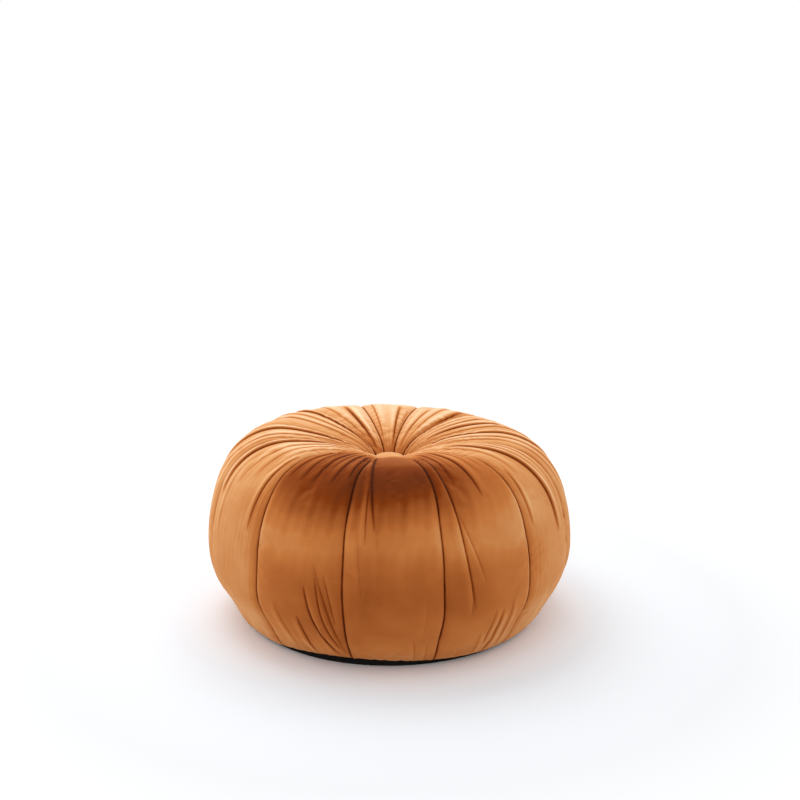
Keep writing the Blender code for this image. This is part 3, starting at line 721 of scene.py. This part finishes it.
def linear(code):
    """An sRGB hex colour as linear RGBA."""
    values = [int(code[index : index + 2], 16) / 255.0 for index in (0, 2, 4)]
    return [v / 12.92 if v <= 0.04045 else ((v + 0.055) / 1.055) ** 2.4 for v in values] + [1.0]


def add_node(tree, kind, settings=None, inputs=None):
    """Adds a node, sets its properties, and sets or links its inputs."""
    node = tree.nodes.new(kind)
    for name, value in (settings or {}).items():
        setattr(node, name, value)
    for name, value in (inputs or {}).items():
        if isinstance(value, bpy.types.NodeSocket):
            tree.links.new(value, node.inputs[name])
        else:
            node.inputs[name].default_value = value
    return node


def new_material(name):
    material = bpy.data.materials.new(name)
    material.use_nodes = True
    material.node_tree.nodes.clear()
    return material, material.node_tree


def velvet(name):
    """Cotton velvet, woven and sheared, its colour holding painted light and shade: the stored tone with its painted
    shade and sheen, painted shade in creases and a painted sheen where the surface turns away from the view.
    """
    material, tree = new_material(name)
    place = add_node(tree, "ShaderNodeTexCoord")
    nap_and_painted_light, crease, lines = (
        add_node(tree, "ShaderNodeAttribute", {"attribute_name": layer}).outputs["Fac"]
        for layer in ("nap_and_painted_light", "crease", "lines")
    )

    def noise(source, stretch, scale, detail, roughness=0.5, distortion=0.0):
        spread = add_node(tree, "ShaderNodeMapping", inputs={"Vector": place.outputs[source], "Scale": stretch})
        return add_node(
            tree,
            "ShaderNodeTexNoise",
            inputs={
                "Vector": spread.outputs["Vector"],
                "Scale": scale,
                "Detail": detail,
                "Roughness": roughness,
                "Distortion": distortion,
            },
        ).outputs["Fac"]

    def sum_of(factor, value, rest):
        node = add_node(tree, "ShaderNodeMath", {"operation": "MULTIPLY_ADD"}, {0: value, 1: factor, 2: rest})
        return node.outputs[0]

    def product(first, second):
        return add_node(tree, "ShaderNodeMath", {"operation": "MULTIPLY"}, {0: first, 1: second}).outputs[0]

    # Brushed lines about 3 mm apart, soft brush marks across the gore, and patches some 10 cm wide.
    brushed = noise("UV", (300.0, 7.0, 1.0), 1.0, 4.0, 0.6)
    marks = noise("UV", (14.0, 52.0, 1.0), 1.0, 3.0, 0.5, 0.5)
    cloud = noise("Object", (1.0, 1.0, 1.0), 9.0, 3.0, 0.5, 0.6)
    pile = noise("Object", (1.0, 1.0, 1.0), 900.0, 2.0)
    facing = add_node(tree, "ShaderNodeLayerWeight", inputs={"Blend": 0.5}).outputs["Facing"]
    # Painted sheen: the colour pales where the surface turns away from the view, less in the creases.
    open_share = sum_of(-1.0, crease, 1.0)
    tone = sum_of(0.26, product(facing, open_share), nap_and_painted_light)
    tone = sum_of(0.26, sum_of(1.0, cloud, -0.5), tone)
    tone = sum_of(0.05, sum_of(1.0, marks, -0.5), tone)
    tone = sum_of(0.30, product(sum_of(1.0, brushed, -0.5), lines), tone)
    # Painted shade in creases, seams and gathers, and a painted highlight on fold ridges where the stored value is
    # below zero.
    tone = sum_of(-0.50, crease, tone)
    color = add_node(tree, "ShaderNodeValToRGB", inputs={"Fac": tone})
    ramp = color.color_ramp
    stops = ((0.0, "4A1C07"), (0.25, "783307"), (0.5, "AC612D"), (0.62, "BE743B"), (0.8, "D69C66"), (1.0, "F3D2AE"))
    while len(ramp.elements) < len(stops):
        ramp.elements.new(0.5)
    for element, (position, code) in zip(ramp.elements, stops):
        element.position = position
        element.color = linear(code)
    bump = add_node(
        tree,
        "ShaderNodeBump",
        inputs={"Height": pile, "Strength": 0.3, "Distance": 0.0003},
    )
    brush_bump = add_node(
        tree,
        "ShaderNodeBump",
        inputs={"Height": product(brushed, lines), "Normal": bump.outputs["Normal"], "Strength": 0.2, "Distance": 0.001},
    )
    shader = add_node(
        tree,
        "ShaderNodeBsdfPrincipled",
        inputs={
            "Base Color": color.outputs["Color"],
            "Roughness": 0.8,
            "Specular IOR Level": 0.05,
            "Sheen Weight": 0.10,
            "Sheen Roughness": 0.4,
            "Sheen Tint": linear("FFB478"),
            "Normal": brush_bump.outputs["Normal"],
        },
    )
    add_node(tree, "ShaderNodeOutputMaterial", inputs={"Surface": shader.outputs["BSDF"]})
    return material


def black_cloth(name):
    """Black non-woven cloth over board: dull, with a faint felted grain."""
    material, tree = new_material(name)
    place = add_node(tree, "ShaderNodeTexCoord")
    grain = add_node(
        tree, "ShaderNodeTexNoise", inputs={"Vector": place.outputs["Object"], "Scale": 700.0, "Detail": 3.0}
    )
    color = add_node(tree, "ShaderNodeValToRGB", inputs={"Fac": grain.outputs["Fac"]})
    color.color_ramp.elements[0].color = linear("060505")
    color.color_ramp.elements[1].color = linear("14110F")
    bump = add_node(
        tree,
        "ShaderNodeBump",
        inputs={"Height": grain.outputs["Fac"], "Strength": 0.4, "Distance": 0.0004},
    )
    shader = add_node(
        tree,
        "ShaderNodeBsdfPrincipled",
        inputs={
            "Base Color": color.outputs["Color"],
            "Roughness": 0.92,
            "Specular IOR Level": 0.2,
            "Normal": bump.outputs["Normal"],
        },
    )
    add_node(tree, "ShaderNodeOutputMaterial", inputs={"Surface": shader.outputs["BSDF"]})
    return material


def floor_with_painted_shade(name):
    """Matt white studio floor, a little blue against the orange light the pouf throws on it, with painted light and
    shade: palest at the pouf's foot, a painted light that eases its contact shadow, then greyer in a ring round the
    pouf, a painted shadow, and running out into the white background.
    """
    material, tree = new_material(name)
    place = add_node(tree, "ShaderNodeTexCoord").outputs["Object"]
    reach = add_node(tree, "ShaderNodeVectorMath", {"operation": "LENGTH"}, {0: place})
    color = add_node(tree, "ShaderNodeValToRGB", inputs={"Fac": reach.outputs["Value"]})
    ramp = color.color_ramp
    # Painted light and shade by distance from the middle: pale at the pouf's foot, greyer in a ring round it out to
    # about 0.9 m.
    stops = ((0.30, "F6FBFF"), (0.36, "EAF0F5"), (0.60, "E2E5E8"), (0.90, "EEF0F2"))
    while len(ramp.elements) < len(stops):
        ramp.elements.new(0.5)
    for element, (position, code) in zip(ramp.elements, stops):
        element.position = position
        element.color = linear(code)
    shader = add_node(
        tree, "ShaderNodeBsdfPrincipled", inputs={"Base Color": color.outputs["Color"], "Roughness": 0.9}
    )
    fade = add_node(
        tree,
        "ShaderNodeMapRange",
        {"interpolation_type": "SMOOTHSTEP"},
        {"Value": reach.outputs["Value"], "From Min": 0.6, "From Max": 1.9},
    )
    clear = add_node(tree, "ShaderNodeBsdfTransparent")
    mix = add_node(
        tree,
        "ShaderNodeMixShader",
        inputs={0: fade.outputs["Result"], 1: shader.outputs["BSDF"], 2: clear.outputs["BSDF"]},
    )
    add_node(tree, "ShaderNodeOutputMaterial", inputs={"Surface": mix.outputs["Shader"]})
    return material


def make_button():
    """The covered button: a domed disc, its velvet drawn over the rim in small gathers."""
    clear_selection()
    bottom = (SEAT_HEIGHT + CLEARANCE) * MM
    bpy.ops.mesh.primitive_uv_sphere_add(segments=160, ring_count=80, radius=1.0)
    button = bpy.context.object
    button.name = "covered_button"
    mesh = button.data
    mesh.name = button.name
    places = np.empty(len(mesh.vertices) * 3)
    mesh.vertices.foreach_get("co", places)
    x, y, z = places.reshape(-1, 3).T
    ring = np.hypot(x, y)
    turn = np.arctan2(x, -y)
    side = np.where(z > 0.0, 0.0, -z)
    radius = BUTTON_RADIUS * ring ** np.where(z > 0.0, 0.82, 0.45)
    gathers = 0.5 * np.abs(np.sin(9.0 * turn + 0.7 * np.sin(3.0 * turn))) + 0.3 * np.sin(23.0 * turn + 1.1)
    radius = radius - gathers * blend(0.15, 0.8, side) * ring
    rise = np.where(z > 0.0, 5.0 + (BUTTON_HEIGHT - 5.0) * np.abs(z) ** 1.05, 5.0 * (1.0 - np.abs(z) ** 0.55))
    soft = 0.25 * np.sin(2.0 * turn + 0.6) * ring * blend(0.0, 0.4, z)
    points = np.stack([radius * np.sin(turn) * MM, -radius * np.cos(turn) * MM, bottom + (rise + soft) * MM], -1)
    mesh.vertices.foreach_set("co", points.ravel())
    corners = np.empty(len(mesh.loops), dtype=int)
    mesh.loops.foreach_get("vertex_index", corners)
    mesh.uv_layers[0].data.foreach_set("uv", points[corners, :2].ravel())
    # Painted shade in the gathers under the rim.
    rim = 0.5 * gathers * blend(0.1, 0.6, side)
    set_looks(mesh, np.stack([np.full_like(ring, 0.64), np.clip(rim, 0.0, 1.0), np.full_like(ring, 0.2)], -1))
    bpy.ops.object.mode_set(mode="EDIT")
    bpy.ops.mesh.select_all(action="SELECT")
    bpy.ops.mesh.remove_doubles(threshold=0.002 * MM)
    bpy.ops.mesh.normals_make_consistent(inside=False)
    bpy.ops.object.mode_set(mode="OBJECT")
    bpy.ops.object.shade_smooth()
    return button


def make_base():
    """The base: a round board in black cloth, with a softly rounded edge and a shallow tacked line below."""
    clear_selection()
    thickness = BASE_THICKNESS * MM
    bpy.ops.mesh.primitive_cylinder_add(
        vertices=192,
        radius=BASE_RADIUS * MM,
        depth=thickness,
        location=(0.0, 0.0, thickness / 2.0),
    )
    base = bpy.context.object
    base.name = "black_base"
    base.data.name = base.name
    bpy.ops.object.transform_apply(location=True, rotation=False, scale=False)
    bpy.ops.object.mode_set(mode="EDIT")
    bpy.ops.mesh.select_all(action="DESELECT")
    shape = bmesh.from_edit_mesh(base.data)
    for face in shape.faces:
        face.select = abs(face.normal.z) > 0.9
    bmesh.update_edit_mesh(base.data)
    bpy.ops.mesh.inset(thickness=0.02, depth=0.0, use_individual=True)
    bpy.ops.mesh.inset(thickness=0.002, depth=-0.0004, use_individual=True)
    bpy.ops.object.mode_set(mode="OBJECT")
    rounding = base.modifiers.new("edge_round", "BEVEL")
    rounding.width = 1.4 * MM
    rounding.segments = 4
    rounding.limit_method = "ANGLE"
    rounding.angle_limit = math.radians(60.0)
    bpy.ops.object.modifier_apply(modifier=rounding.name)
    bpy.ops.object.shade_smooth_by_angle(angle=math.radians(40.0))
    return base


def add_floor():
    clear_selection()
    bpy.ops.mesh.primitive_plane_add(size=8.0, location=(0.0, 0.0, -0.0002))
    floor = bpy.context.object
    floor.name = "studio_floor"
    floor.data.materials.append(floor_with_painted_shade("matt_white_floor"))


def add_light(name, place, target, size, energy, color="FFFFFF"):
    """A soft rectangular lamp at place, facing target."""
    lamp = bpy.data.lights.new(name, "AREA")
    lamp.shape = "RECTANGLE"
    lamp.size, lamp.size_y = size
    lamp.energy = energy
    lamp.color = linear(color)[:3]
    holder = bpy.data.objects.new(name, lamp)
    holder.location = place
    holder.rotation_euler = (Vector(target) - Vector(place)).to_track_quat("-Z", "Y").to_euler()
    bpy.context.scene.collection.objects.link(holder)


def add_studio():
    world = bpy.data.worlds.new("white_studio")
    world.use_nodes = True
    sky = world.node_tree.nodes["Background"]
    sky.inputs["Color"].default_value = linear("FFFFFF")
    sky.inputs["Strength"].default_value = 1.0
    bpy.context.scene.world = world
    bpy.context.scene.view_settings.view_transform = "Standard"
    middle = (0.0, 0.0, 0.16)
    add_light("overhead_softbox", (-0.5, 0.9, 2.3), middle, (2.2, 1.6), 22.0)
    add_light("left_softbox", (-2.4, 0.3, 1.0), middle, (1.2, 1.6), 7.0)
    add_light("right_softbox", (2.4, 0.4, 1.0), middle, (1.2, 1.6), 4.0)


def add_camera():
    pitch = math.radians(13.61)
    yaw = math.radians(0.5)
    view = Vector((math.sin(yaw) * math.cos(pitch), math.cos(yaw) * math.cos(pitch), -math.sin(pitch)))
    lens = bpy.data.cameras.new("photo_camera")
    lens.lens = 56.7
    lens.sensor_width = 36.0
    camera = bpy.data.objects.new("photo_camera", lens)
    camera.location = (0.0, -2.05666, 0.86781)
    camera.rotation_euler = view.to_track_quat("-Z", "Y").to_euler()
    bpy.context.scene.collection.objects.link(camera)
    bpy.context.scene.camera = camera


def main():
    global STUFFED, STUFFED_DROPS
    STUFFED, STUFFED_DROPS = stuffed_skin()
    velvet_finish = velvet("orange_velvet")
    for number in range(len(GORES)):
        gore = make_gore(number)
        gore.data.materials.append(velvet_finish)
        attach(gore, "root")
        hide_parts(f"panel_{number + 1:02d}")
    button = make_button()
    button.data.materials.append(velvet_finish)
    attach(button, "root")
    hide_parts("button")
    base = make_base()
    base.data.materials.append(black_cloth("black_cloth"))
    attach(base, "root")
    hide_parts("base")
    add_floor()
    add_studio()
    add_camera()
    clear_selection()


main()
